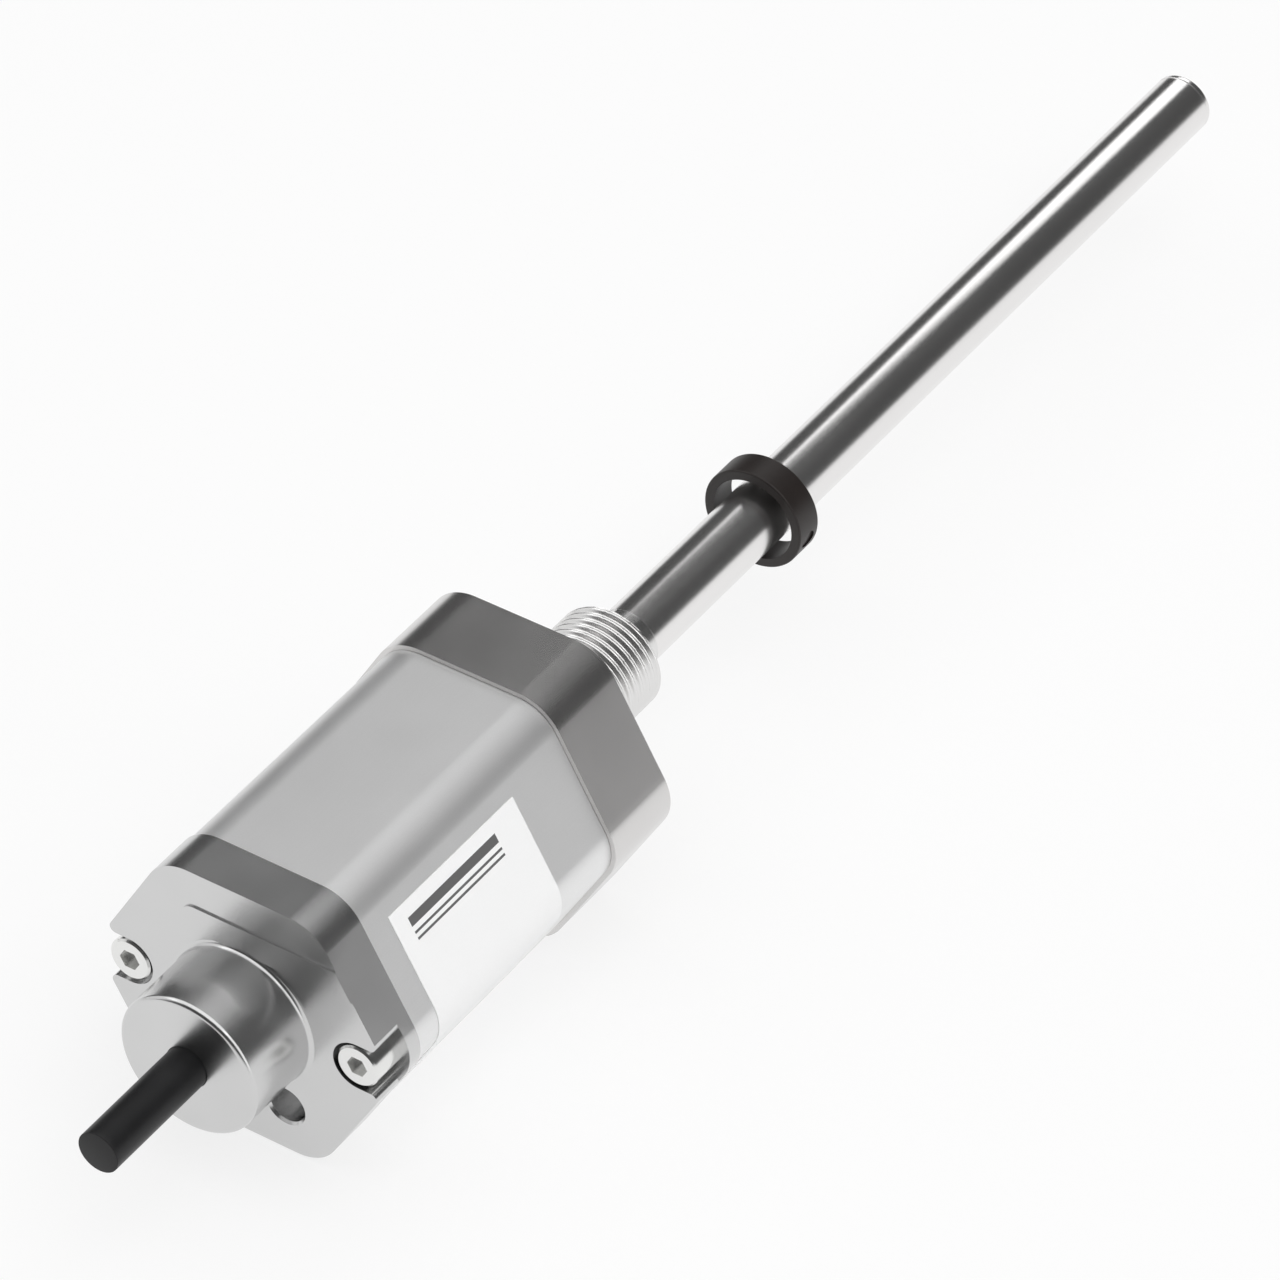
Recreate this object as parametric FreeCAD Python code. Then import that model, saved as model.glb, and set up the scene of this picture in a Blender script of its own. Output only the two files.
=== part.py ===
import FreeCAD, Part
import math
import os

# Rod-type magnetostrictive position sensor with its ring magnet.
# Frame: +X runs along the rod to its tip, +Z is up. The origin is on the rod's axis,
# in the plane of the flange's sealing face. Lengths are in millimetres.

# Mounting flange, a hexagon bar turned down to a threaded stub
flange_across_flats = 46.0
flange_corner_radius = 8.0
flange_thickness = 14.6
flange_edge_chamfer = 0.3
thread_diameter = 18.0
thread_stub_length = 22.7
thread_chamfer = 0.9
seal_groove_depth = 1.25
seal_groove_width = 2.6
seal_recess_depth = 1.9
seal_recess_gap = 0.25
flange_spigot_length = 5.0
converter_seat_wall = 3.9
converter_seat_depth = 7.0
nose_length = 4.0
nose_wall = 0.2

# Pressure tube and its welded end plug
tube_diameter = 10.2
tube_wall = 1.6
tube_tip_x = 188.0
tube_shoulder = 1.5
plug_rim_thickness = 1.0
plug_spigot_length = 5.0
plug_edge_radius = 0.3

# Housing, an extruded hexagon with a round bore, set in from the flange's flats
housing_setback = 0.75
housing_corner_radius = 7.5
housing_length = 48.4
housing_wall = 6.25

# End cap with its round boss, screw slots, raised pad and blind hole
cap_overhang = 0.3
cap_corner_radius = 7.4
cap_thickness = 8.0
cap_spigot_length = 5.0
boss_slot_gap = 3.9
boss_length = 13.2
boss_edge_radius = 0.8
boss_root_radius = 0.8
boss_front_wall = 3.0
cap_chamber_wall = 3.4
cap_chamber_depth = 2.5
pad_height = 0.3
pad_width = 4.5
pad_flat_distance = 8.45
pad_end_y = 9.9
blind_hole_diameter = 6.0
blind_hole_depth = 5.0
blind_hole_chamfer = 0.4
blind_hole_y = -7.0
blind_hole_flat_distance = 8.25

# Cap screws that clamp the cap and the housing to the flange
screw_bore_wall = 1.45
screw_diameter = 4.0
screw_engagement = 7.6
tapped_end_gap = 1.0
screw_head_diameter = 7.0
screw_head_height = 4.0
screw_head_chamfer = 0.3
screw_socket_size = 3.0
screw_socket_depth = 2.0
slot_head_gap = 0.6
slot_lip_radius = 1.0
washer_thickness = 1.4
screw_count = 2

# Signal cable, its seal and its crimped ferrule
cable_diameter = 6.8
cable_visible_length = 20.7
cable_inner_end_gap = 6.0
grommet_wall = 2.3
grommet_length = 8.0
ferrule_wall = 1.2
ferrule_length = 5.0
core_diameter = 1.0
core_spacing = 1.25
core_count = 4
core_bend_turn = 50.0

# O-rings
flange_o_ring_section = 2.4
housing_o_ring_section = 1.8
o_ring_groove_width = 2.3
o_ring_groove_offset = 1.3

# Sensing element inside the tube
waveguide_diameter = 0.7
sleeve_diameter = 2.6
sleeve_bore = 1.2
return_wire_diameter = 0.8
return_wire_gap = 0.2
spacer_length = 4.0
spacer_count = 4
spacer_first_x = 20.0
damper_length = 30.0
damper_end_gap = 1.5
link_thickness = 0.8
link_width = 2.0

# Strain pulse converter
carrier_disc_thickness = 4.0
carrier_end_wall = 2.0
carrier_side_wall = 1.2
bobbin_length = 10.0
bobbin_core_diameter = 3.2
bobbin_flange_diameter = 7.0
bobbin_flange_thickness = 1.0
bobbin_gap = 4.0
coil_inset = 0.4
bias_magnet_length = 3.0
bias_magnet_width = 5.0
bias_magnet_height = 2.5
clamp_length = 3.0
clamp_width = 4.0
clamp_height = 3.0

# Electronics
board_thickness = 1.6
board_edge_gap = 0.7
board_rear_gap = 1.5
board_front_gap = 4.9
board_tray_wall = 1.5
board_ledge_width = 3.0
chip_length = 6.0
chip_width = 5.0
chip_height = 1.2
chip_pitch = 8.5
chip_count = 3
small_part_length = 2.0
small_part_width = 1.0
small_part_height = 0.9
small_part_pitch = 3.6
small_part_count = 7
header_length = 4.0
header_width = 8.0
header_height = 2.2
header_gap = 0.3

# Label, wrapped round the corner between the two flats on the -Y side
label_thickness = 0.12
label_front_gap = 12.8
label_rear_gap = 5.0
label_reach = 6.2

# Ring magnet that rides along the rod without touching it
magnet_inner_diameter = 14.1
magnet_wall = 1.6
magnet_width = 5.1
magnet_rear_x = 60.3
magnet_edge_radius = 0.3
dimple_diameter = 3.0
dimple_depth = 0.35
dimple_turn = 102.0

# Clearances
fit_clearance = 0.02
screw_clearance = 0.25
slide_clearance = 0.1
cable_clearance = 0.1

# Values worked out from the sizes above
HEX_SIDES = 6
FULL_TURN = 360.0
half_corner = math.radians(FULL_TURN / 2 / HEX_SIDES)
x_axis = FreeCAD.Vector(1, 0, 0)
flange_rear_x = -flange_thickness
flange_spigot_x = flange_rear_x - flange_spigot_length
housing_across_flats = flange_across_flats - 2 * housing_setback
housing_bore_radius = housing_across_flats / 2 - housing_wall
housing_rear_x = flange_rear_x - housing_length
cap_across_flats = housing_across_flats + 2 * cap_overhang
cap_face_x = housing_rear_x - cap_thickness
cap_spigot_x = housing_rear_x + cap_spigot_length
boss_front_x = cap_face_x - boss_length
cable_end_x = boss_front_x - cable_visible_length
thread_radius = thread_diameter / 2
groove_radius = thread_radius - seal_groove_depth
tube_radius = tube_diameter / 2
tube_bore_radius = tube_radius - tube_wall
tube_end_x = tube_tip_x - plug_rim_thickness
nose_end_x = thread_stub_length + nose_length
spigot_radius = housing_bore_radius - slide_clearance
converter_seat_x = flange_spigot_x + converter_seat_depth
converter_seat_radius = spigot_radius - converter_seat_wall
tube_start_x = converter_seat_x + tube_shoulder
screw_radius = screw_diameter / 2
screw_head_radius = screw_head_diameter / 2
screw_pitch_radius = housing_bore_radius + screw_bore_wall + screw_clearance + screw_radius
washer_front_x = cap_face_x + screw_head_height
slot_floor_x = washer_front_x + washer_thickness
slot_half_width = screw_head_radius + slot_head_gap
screw_tip_x = flange_rear_x + screw_engagement
boss_radius = screw_pitch_radius - slot_half_width - boss_slot_gap
boss_chamber_radius = cable_diameter / 2 + grommet_wall
cap_chamber_radius = spigot_radius - cap_chamber_wall
pad_centre_z = cap_across_flats / 2 - pad_flat_distance
blind_hole_z = blind_hole_flat_distance - cap_across_flats / 2
grommet_front_x = boss_front_x + boss_front_wall
ferrule_front_x = grommet_front_x + grommet_length
cable_inner_x = ferrule_front_x + ferrule_length + cable_inner_end_gap
bobbin_front_x = flange_spigot_x - bobbin_gap
bobbin_rear_x = bobbin_front_x - bobbin_length
bias_magnet_front_x = bobbin_rear_x - clamp_length
bias_magnet_rear_x = bias_magnet_front_x - bias_magnet_length
trough_rear_x = bias_magnet_rear_x - carrier_end_wall
trough_half_width = bobbin_flange_diameter / 2 + carrier_side_wall
board_rear_x = cap_spigot_x + board_rear_gap
board_front_x = flange_spigot_x - board_front_gap
board_top_z = -trough_half_width - header_gap - header_height
board_bottom_z = board_top_z - board_thickness
board_half_width = math.sqrt((housing_bore_radius - board_edge_gap) ** 2 - board_bottom_z ** 2)
plug_inner_x = tube_end_x - plug_spigot_length
link_front_x = plug_inner_x - damper_end_gap
link_rear_x = link_front_x - link_thickness
damper_rear_x = link_rear_x - damper_length
return_wire_z = -(sleeve_diameter / 2 + return_wire_gap + return_wire_diameter / 2)
spacer_pitch = (damper_rear_x - spacer_first_x) / spacer_count
label_rear_x = housing_rear_x + label_rear_gap
label_front_x = flange_rear_x - label_front_gap
magnet_outer_radius = magnet_inner_diameter / 2 + magnet_wall


def vec(x, y, z):
    return FreeCAD.Vector(x, y, z)


def polar(radius, angle, x):
    """Point at a radius and an angle from +Y towards +Z, in the plane at x."""
    return vec(x, radius * math.cos(angle), radius * math.sin(angle))


def rod(radius, x_start, x_end, y=0.0, z=0.0):
    """Round bar along X."""
    return Part.makeCylinder(radius, x_end - x_start, vec(x_start, y, z), x_axis)


def tube(outer_radius, inner_radius, x_start, x_end, y=0.0, z=0.0):
    """Round tube along X."""
    return rod(outer_radius, x_start, x_end, y, z).cut(rod(inner_radius, x_start, x_end, y, z))


def block(x_start, x_end, y_start, y_end, z_start, z_end):
    """Rectangular block between two corners."""
    return Part.makeBox(x_end - x_start, y_end - y_start, z_end - z_start, vec(x_start, y_start, z_start))


def turned(profile):
    """Solid of revolution about X from a closed list of (x, radius) points."""
    points = [vec(x, 0, radius) for x, radius in profile]
    wire = Part.makePolygon(points + points[:1])
    return Part.Face(wire).revolve(vec(0, 0, 0), x_axis, FULL_TURN)


def hexagon(across_flats, corner_radius, x):
    """Face of a hexagon with rounded corners, two of them on the Y axis and two flats facing up and down."""
    apothem = across_flats / 2
    centre_radius = (apothem - corner_radius) / math.cos(half_corner)
    arcs = []
    for side in range(HEX_SIDES):
        angle = 2 * half_corner * side
        centre = polar(centre_radius, angle, x)
        ends = [centre + polar(corner_radius, angle + turn, 0) for turn in (-half_corner, 0, half_corner)]
        arcs.append(ends)
    edges = []
    for index, ends in enumerate(arcs):
        following = arcs[(index + 1) % HEX_SIDES]
        edges.append(Part.Arc(*ends).toShape())
        edges.append(Part.LineSegment(ends[-1], following[0]).toShape())
    return Part.Face(Part.Wire(edges))


def hex_bar(across_flats, corner_radius, x_start, x_end):
    """Hexagon bar along X with rounded corners."""
    return hexagon(across_flats, corner_radius, x_start).extrude(vec(x_end - x_start, 0, 0))


def o_ring(section, ring_radius, x_centre):
    """Round-section seal about the X axis."""
    return Part.makeTorus(ring_radius, section / 2, vec(x_centre, 0, 0), x_axis)


def screw_places():
    """Screw axes on the two hexagon corners at the sides, as (y, z)."""
    turns = [2 * math.pi * index / screw_count for index in range(screw_count)]
    return [(screw_pitch_radius * math.cos(turn), screw_pitch_radius * math.sin(turn)) for turn in turns]


def circles_at(shape, x, radius):
    """Edges of a shape that are whole circles about the X axis, at one x and one radius."""
    found = []
    for edge in shape.Edges:
        curve = edge.Curve
        if not isinstance(curve, Part.Circle):
            continue
        centre = curve.Center
        on_axis = math.hypot(centre.y, centre.z) < fit_clearance
        if on_axis and abs(centre.x - x) < fit_clearance and abs(curve.Radius - radius) < fit_clearance:
            found.append(edge)
    return found


def spigot(x_shoulder, x_end):
    """Round spigot that centres a part in the housing bore, with its seal groove next to the shoulder."""
    step = math.copysign(1.0, x_end - x_shoulder)
    groove_start = x_shoulder + step * o_ring_groove_offset
    groove_end = groove_start + step * o_ring_groove_width
    bottom = housing_bore_radius - housing_o_ring_section + slide_clearance
    body = rod(spigot_radius, min(x_shoulder, x_end), max(x_shoulder, x_end))
    ring = tube(housing_bore_radius, bottom, min(groove_start, groove_end), max(groove_start, groove_end))
    return body.cut(ring)


def spigot_o_ring(x_shoulder, step):
    """Seal that sits in a spigot's groove and meets the housing bore."""
    section = housing_o_ring_section - slide_clearance - fit_clearance
    centre = x_shoulder + step * (o_ring_groove_offset + o_ring_groove_width / 2)
    return o_ring(section, housing_bore_radius - fit_clearance / 2 - section / 2, centre)


def mounting_flange():
    """Hexagon flange, threaded stub, nose that holds the tube, rear spigot and the converter's seat."""
    nose_radius = tube_radius + fit_clearance + nose_wall
    body = hex_bar(flange_across_flats, flange_corner_radius, flange_rear_x, 0)
    front_edges = [edge for edge in body.Edges if abs(edge.BoundBox.XMin) < fit_clearance]
    body = body.makeChamfer(flange_edge_chamfer, front_edges)
    stub = turned([
        (-fit_clearance, 0),
        (-fit_clearance, groove_radius),
        (seal_groove_width, groove_radius),
        (seal_groove_width + seal_groove_depth, thread_radius),
        (thread_stub_length - thread_chamfer, thread_radius),
        (thread_stub_length, thread_radius - thread_chamfer),
        (thread_stub_length, nose_radius),
        (nose_end_x, nose_radius),
        (nose_end_x, 0),
    ])
    body = body.fuse(stub).fuse(spigot(flange_rear_x, flange_spigot_x))
    recess_radius = groove_radius + flange_o_ring_section + seal_recess_gap
    body = body.cut(tube(recess_radius, groove_radius, -seal_recess_depth, 0))
    body = body.cut(rod(tube_radius + fit_clearance, tube_start_x, nose_end_x))
    body = body.cut(rod(tube_bore_radius, flange_spigot_x, nose_end_x))
    body = body.cut(rod(converter_seat_radius, flange_spigot_x, converter_seat_x))
    for y, z in screw_places():
        tapped = rod(screw_radius + fit_clearance, flange_rear_x, screw_tip_x + tapped_end_gap, y, z)
        body = body.cut(tapped)
    return body.removeSplitter()


def flange_o_ring():
    """Port seal at the foot of the thread, sunk in the flange's face but for what the port squeezes."""
    radius = flange_o_ring_section / 2 + fit_clearance
    return o_ring(flange_o_ring_section, groove_radius + radius, radius - seal_recess_depth)


def pressure_tube():
    """Stainless tube, open at the rear, closed by the plug."""
    return tube(tube_radius, tube_bore_radius, tube_start_x, tube_end_x)


def tube_end_plug():
    """Plug with a rim of the tube's diameter and a spigot inside the tube."""
    rim = rod(tube_radius, tube_end_x, tube_tip_x)
    rim = rim.makeFillet(plug_edge_radius, circles_at(rim, tube_tip_x, tube_radius))
    return rim.fuse(rod(tube_bore_radius - fit_clearance, plug_inner_x, tube_end_x))


def waveguide():
    """Sensing wire from the clamp at the converter to the link at the tip."""
    return rod(waveguide_diameter / 2, bias_magnet_front_x, link_front_x)


def waveguide_sleeve():
    """Insulating tube round the waveguide, up to the damper."""
    return tube(sleeve_diameter / 2, sleeve_bore / 2, converter_seat_x, damper_rear_x)


def return_wire():
    """Return conductor beside the sleeve."""
    return rod(return_wire_diameter / 2, flange_spigot_x, link_front_x, 0, return_wire_z)


def tube_spacers():
    """Rubber spacers that centre the sleeve in the tube, as one group."""
    spacers = []
    for index in range(spacer_count):
        x = spacer_first_x + index * spacer_pitch
        end_x = x + spacer_length
        spacer = tube(tube_bore_radius - fit_clearance, sleeve_diameter / 2 + fit_clearance, x, end_x)
        passage = rod(return_wire_diameter / 2 + fit_clearance, x, end_x, 0, return_wire_z)
        spacers.append(spacer.cut(passage))
    return Part.makeCompound(spacers)


def damper():
    """Rubber damper that soaks up the pulse at the tip end of the waveguide."""
    outer = tube_bore_radius - fit_clearance
    body = tube(outer, waveguide_diameter / 2 + fit_clearance, damper_rear_x, link_rear_x)
    passage_radius = return_wire_diameter / 2 + fit_clearance
    return body.cut(rod(passage_radius, damper_rear_x, link_rear_x, 0, return_wire_z))


def end_link():
    """Small plate that joins the waveguide to the return conductor."""
    reach = return_wire_diameter
    plate = block(link_rear_x, link_front_x, -link_width / 2, link_width / 2, return_wire_z - reach, reach)
    plate = plate.cut(rod(waveguide_diameter / 2 + fit_clearance, link_rear_x, link_front_x))
    wire = rod(return_wire_diameter / 2 + fit_clearance, link_rear_x, link_front_x, 0, return_wire_z)
    return plate.cut(wire)


def converter_carrier():
    """Moulded carrier: a disc in the flange's seat and a trough that holds the coil and the magnet."""
    disc_rear = converter_seat_x - carrier_disc_thickness
    disc = rod(converter_seat_radius - slide_clearance, disc_rear, converter_seat_x)
    half = trough_half_width
    trough = block(trough_rear_x, disc_rear, -half, half, -half, 0)
    pocket_radius = bobbin_flange_diameter / 2 + fit_clearance
    trough = trough.cut(rod(pocket_radius, bobbin_rear_x - fit_clearance, disc_rear))
    magnet_half = bias_magnet_width / 2 + fit_clearance
    magnet_floor = -waveguide_diameter - bias_magnet_height
    nest = block(bias_magnet_rear_x, bias_magnet_front_x, -magnet_half, magnet_half, magnet_floor, 0)
    clamp_half = clamp_width / 2 + fit_clearance
    clamp_nest = block(bias_magnet_front_x, bobbin_rear_x, -clamp_half, clamp_half, -clamp_height / 2, 0)
    body = disc.fuse(trough.cut(nest).cut(clamp_nest))
    body = body.cut(rod(sleeve_diameter / 2, disc_rear, converter_seat_x))
    passage_radius = return_wire_diameter / 2 + fit_clearance
    passage = rod(passage_radius, flange_spigot_x, converter_seat_x, 0, return_wire_z)
    return body.cut(passage).removeSplitter()


def coil_bobbin():
    """Spool on the waveguide for the pick-up coil."""
    flange_radius = bobbin_flange_diameter / 2
    core_radius = bobbin_core_diameter / 2
    spool = turned([
        (bobbin_rear_x, 0),
        (bobbin_rear_x, flange_radius),
        (bobbin_rear_x + bobbin_flange_thickness, flange_radius),
        (bobbin_rear_x + bobbin_flange_thickness, core_radius),
        (bobbin_front_x - bobbin_flange_thickness, core_radius),
        (bobbin_front_x - bobbin_flange_thickness, flange_radius),
        (bobbin_front_x, flange_radius),
        (bobbin_front_x, 0),
    ])
    return spool.cut(rod(waveguide_diameter / 2 + fit_clearance, bobbin_rear_x, bobbin_front_x))


def pickup_coil():
    """Winding between the bobbin's flanges."""
    start = bobbin_rear_x + bobbin_flange_thickness + fit_clearance
    end = bobbin_front_x - bobbin_flange_thickness - fit_clearance
    outer = bobbin_flange_diameter / 2 - coil_inset
    return tube(outer, bobbin_core_diameter / 2 + fit_clearance, start, end)


def waveguide_clamp():
    """Brass block that grips the rear end of the waveguide."""
    half = clamp_width / 2
    front = bobbin_rear_x - fit_clearance
    body = block(bias_magnet_front_x, front, -half, half, -clamp_height / 2, clamp_height / 2)
    return body.cut(rod(waveguide_diameter / 2 + fit_clearance, bias_magnet_front_x, bobbin_rear_x))


def bias_magnet():
    """Small bar magnet behind the clamp, under the waveguide's end."""
    half = bias_magnet_width / 2
    top = -waveguide_diameter
    front = bias_magnet_front_x - fit_clearance
    return block(bias_magnet_rear_x, front, -half, half, top - bias_magnet_height, top)


def housing():
    """Hexagon extrusion with a round bore and a through hole for each screw."""
    body = hex_bar(housing_across_flats, housing_corner_radius, housing_rear_x, flange_rear_x)
    body = body.cut(rod(housing_bore_radius, housing_rear_x, flange_rear_x))
    for y, z in screw_places():
        body = body.cut(rod(screw_radius + screw_clearance, housing_rear_x, flange_rear_x, y, z))
    return body


def screw_slot(y, z):
    """U-shaped slot that opens outwards at a corner of the cap, down to the washer's seat."""
    outward = math.copysign(1.0, y)
    half = slot_half_width
    reach = y + outward * cap_across_flats / 2
    round_end = rod(half, cap_face_x - pad_height, slot_floor_x, y, z)
    mouth = block(cap_face_x - pad_height, slot_floor_x, min(y, reach), max(y, reach), z - half, z + half)
    return round_end.fuse(mouth).removeSplitter()


def slot_lip_edges(body):
    """Outer edges of the screw slots, where they break through the cap's side."""
    lips = []
    for edge in body.Edges:
        box = edge.BoundBox
        along_x = box.YLength < fit_clearance and box.ZLength < fit_clearance
        beside = abs(abs(box.Center.z) - slot_half_width) < fit_clearance
        outside = abs(box.Center.y) > screw_pitch_radius + fit_clearance
        if along_x and beside and outside and box.XLength > screw_head_height:
            lips.append(edge)
    return lips


def cap_pad():
    """Low raised pad on the cap's face, round at one end and running out over the other side."""
    half = pad_width / 2
    pad = rod(half, cap_face_x - pad_height, cap_face_x + pad_height, pad_end_y - half, pad_centre_z)
    strip = block(cap_face_x - pad_height, cap_face_x + pad_height, -cap_across_flats, pad_end_y - half,
                  pad_centre_z - half, pad_centre_z + half)
    outline = hex_bar(cap_across_flats, cap_corner_radius, cap_face_x - pad_height, cap_face_x + pad_height)
    return pad.fuse(strip).common(outline)


def cap_blind_hole():
    """Blind hole in the cap's face with a chamfered mouth."""
    radius = blind_hole_diameter / 2
    hole = rod(radius, cap_face_x, cap_face_x + blind_hole_depth, blind_hole_y, blind_hole_z)
    mouth = Part.makeCone(radius + blind_hole_chamfer, radius, blind_hole_chamfer,
                          vec(cap_face_x, blind_hole_y, blind_hole_z), x_axis)
    return hole.fuse(mouth)


def end_cap():
    """Rear cap: hexagon plate, boss for the cable, slots for the screws and a spigot in the housing."""
    plate = hex_bar(cap_across_flats, cap_corner_radius, cap_face_x, housing_rear_x)
    for y, z in screw_places():
        plate = plate.cut(screw_slot(y, z))
    plate = plate.makeFillet(slot_lip_radius, slot_lip_edges(plate))
    body = plate.fuse(rod(boss_radius, boss_front_x, cap_face_x))
    body = body.makeFillet(boss_root_radius, circles_at(body, cap_face_x, boss_radius))
    body = body.makeFillet(boss_edge_radius, circles_at(body, boss_front_x, boss_radius))
    body = body.fuse(cap_pad()).fuse(spigot(housing_rear_x, cap_spigot_x))
    body = body.cut(cap_blind_hole())
    body = body.cut(rod(cable_diameter / 2 + cable_clearance, boss_front_x, cap_spigot_x))
    body = body.cut(rod(boss_chamber_radius, grommet_front_x, cap_spigot_x))
    body = body.cut(rod(cap_chamber_radius, housing_rear_x - cap_chamber_depth, cap_spigot_x))
    for y, z in screw_places():
        body = body.cut(rod(screw_radius + screw_clearance, slot_floor_x, housing_rear_x, y, z))
    return body.removeSplitter()


def cap_screw(y, z):
    """Socket head cap screw with its head flush with the cap's face."""
    head = rod(screw_head_radius, cap_face_x, washer_front_x, y, z)
    rim = [edge for edge in head.Edges if abs(edge.BoundBox.XMax - cap_face_x) < fit_clearance]
    head = head.makeChamfer(screw_head_chamfer, rim)
    shank = rod(screw_radius, washer_front_x, screw_tip_x, y, z)
    socket_radius = screw_socket_size / 2 / math.cos(half_corner)
    corners = [polar(socket_radius, 2 * half_corner * side, cap_face_x) for side in range(HEX_SIDES + 1)]
    socket = Part.Face(Part.makePolygon(corners)).extrude(vec(screw_socket_depth, 0, 0))
    socket.translate(vec(0, y, z))
    return head.fuse(shank).cut(socket)


def cap_screws():
    """Both cap screws, as one group."""
    return Part.makeCompound([cap_screw(y, z) for y, z in screw_places()])


def screw_washers():
    """Washer under each screw head, as one group."""
    bore = screw_radius + fit_clearance
    washers = []
    for y, z in screw_places():
        washers.append(tube(screw_head_radius, bore, washer_front_x, slot_floor_x, y, z))
    return Part.makeCompound(washers)


def signal_cable():
    """Jacketed cable, cut off square, from inside the cap to its free end."""
    return rod(cable_diameter / 2, cable_end_x, cable_inner_x)


def cable_grommet():
    """Rubber seal between the cable and the boss."""
    inner = cable_diameter / 2 + fit_clearance
    return tube(boss_chamber_radius - fit_clearance, inner, grommet_front_x, ferrule_front_x)


def cable_ferrule():
    """Crimped ring that keeps the cable from being pulled out."""
    inner = cable_diameter / 2 + fit_clearance
    return tube(inner + ferrule_wall, inner, ferrule_front_x, ferrule_front_x + ferrule_length)


def core_path(y):
    """Centre line of one wire: two opposite arcs from the cable down to the header."""
    turn = math.radians(core_bend_turn)
    drop = -(board_top_z + header_height / 2)
    bend = drop / (2 * (1 - math.cos(turn)))
    start = vec(cable_inner_x, y, 0)
    half_sine, half_cosine = bend * math.sin(turn / 2), bend * (1 - math.cos(turn / 2))
    middle = vec(cable_inner_x + bend * math.sin(turn), y, -drop / 2)
    end = vec(cable_inner_x + 2 * bend * math.sin(turn), y, -drop)
    first = Part.Arc(start, vec(start.x + half_sine, y, -half_cosine), middle)
    second = Part.Arc(middle, vec(end.x - half_sine, y, -drop + half_cosine), end)
    return Part.Wire([first.toShape(), second.toShape()]), end


def cable_cores():
    """Insulated wires from the cable to the board's header, as one group."""
    cores = []
    for index in range(core_count):
        y = (index - (core_count - 1) / 2) * core_spacing
        path, _ = core_path(y)
        circle = Part.Circle(vec(cable_inner_x, y, 0), x_axis, core_diameter / 2)
        cores.append(path.makePipeShell([Part.Wire([circle.toShape()])], True, True))
    return Part.makeCompound(cores)


def header_rear_x():
    """Rear face of the header, where the wires end."""
    _, end = core_path(0)
    return end.x


def circuit_board():
    """Signal board that lies on the tray's ledges."""
    half = board_half_width
    return block(board_rear_x, board_front_x, -half, half, board_bottom_z, board_top_z)


def board_header():
    """Header on the board that takes the cable's wires."""
    rear = header_rear_x()
    half = header_width / 2
    return block(rear, rear + header_length, -half, half, board_top_z, board_top_z + header_height)


def board_components():
    """Chips in a row and small parts beside them, as one group."""
    first = header_rear_x() + header_length + small_part_length
    chip_top = board_top_z + chip_height
    small_part_top = board_top_z + small_part_height
    parts = []
    for index in range(chip_count):
        x = first + index * chip_pitch
        end_x = x + chip_length
        if end_x < board_front_x:
            parts.append(block(x, end_x, -chip_width / 2, chip_width / 2, board_top_z, chip_top))
    for side in (-1, 1):
        centre = side * (chip_width / 2 + 2 * small_part_width)
        near = centre - small_part_width / 2
        far = centre + small_part_width / 2
        for index in range(small_part_count):
            x = first + index * small_part_pitch
            end_x = x + small_part_length
            if end_x < board_front_x:
                parts.append(block(x, end_x, near, far, board_top_z, small_part_top))
    return Part.makeCompound(parts)


def board_tray():
    """Moulded tray that fits the lower part of the bore and carries the board on two ledges."""
    outer = housing_bore_radius - slide_clearance
    inner = outer - board_tray_wall
    shell = tube(outer, inner, board_rear_x, board_front_x)
    lower = block(board_rear_x, board_front_x, -outer, outer, -outer, board_top_z)
    tray = shell.common(lower)
    for side in (-1, 1):
        near, far = side * (board_half_width - board_ledge_width), side * outer
        ledge = block(board_rear_x, board_front_x, min(near, far), max(near, far), -outer, board_bottom_z)
        tray = tray.fuse(ledge.common(rod(outer, board_rear_x, board_front_x)))
    return tray.cut(circuit_board()).removeSplitter()


def label():
    """Thin label on two flats of the housing and round the corner between them."""
    outer_across_flats = housing_across_flats + 2 * label_thickness
    skin = hex_bar(outer_across_flats, housing_corner_radius + label_thickness, label_rear_x, label_front_x)
    skin = skin.cut(hex_bar(housing_across_flats, housing_corner_radius, label_rear_x, label_front_x))
    apothem = housing_across_flats / 2
    flat_turns = [math.pi - half_corner, math.pi + half_corner]
    corners = []
    for turn, side in zip(flat_turns, (-1, 1)):
        along = turn + side * math.pi / 2
        foot = polar(apothem / 2, turn, label_rear_x) + polar(label_reach, along, 0)
        outer = polar(apothem * 2, turn, label_rear_x) + polar(label_reach, along, 0)
        corners.append((foot, outer))
    (upper_foot, upper_outer), (lower_foot, lower_outer) = corners
    window = Part.makePolygon([upper_foot, upper_outer, lower_outer, lower_foot, upper_foot])
    return skin.common(Part.Face(window).extrude(vec(label_front_x - label_rear_x, 0, 0)))


def position_magnet():
    """Bonded ring magnet, made with its small round dimple on top and then turned about the rod."""
    outer = magnet_outer_radius
    front_x = magnet_rear_x + magnet_width
    ring = tube(outer, magnet_inner_diameter / 2, magnet_rear_x, front_x)
    rims = circles_at(ring, magnet_rear_x, outer) + circles_at(ring, front_x, outer)
    ring = ring.makeFillet(magnet_edge_radius, rims)
    foot = vec(magnet_rear_x + magnet_width / 2, 0, outer - dimple_depth)
    ring = ring.cut(Part.makeCylinder(dimple_diameter / 2, 2 * dimple_depth, foot))
    ring.rotate(vec(0, 0, 0), x_axis, dimple_turn)
    return ring


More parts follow.
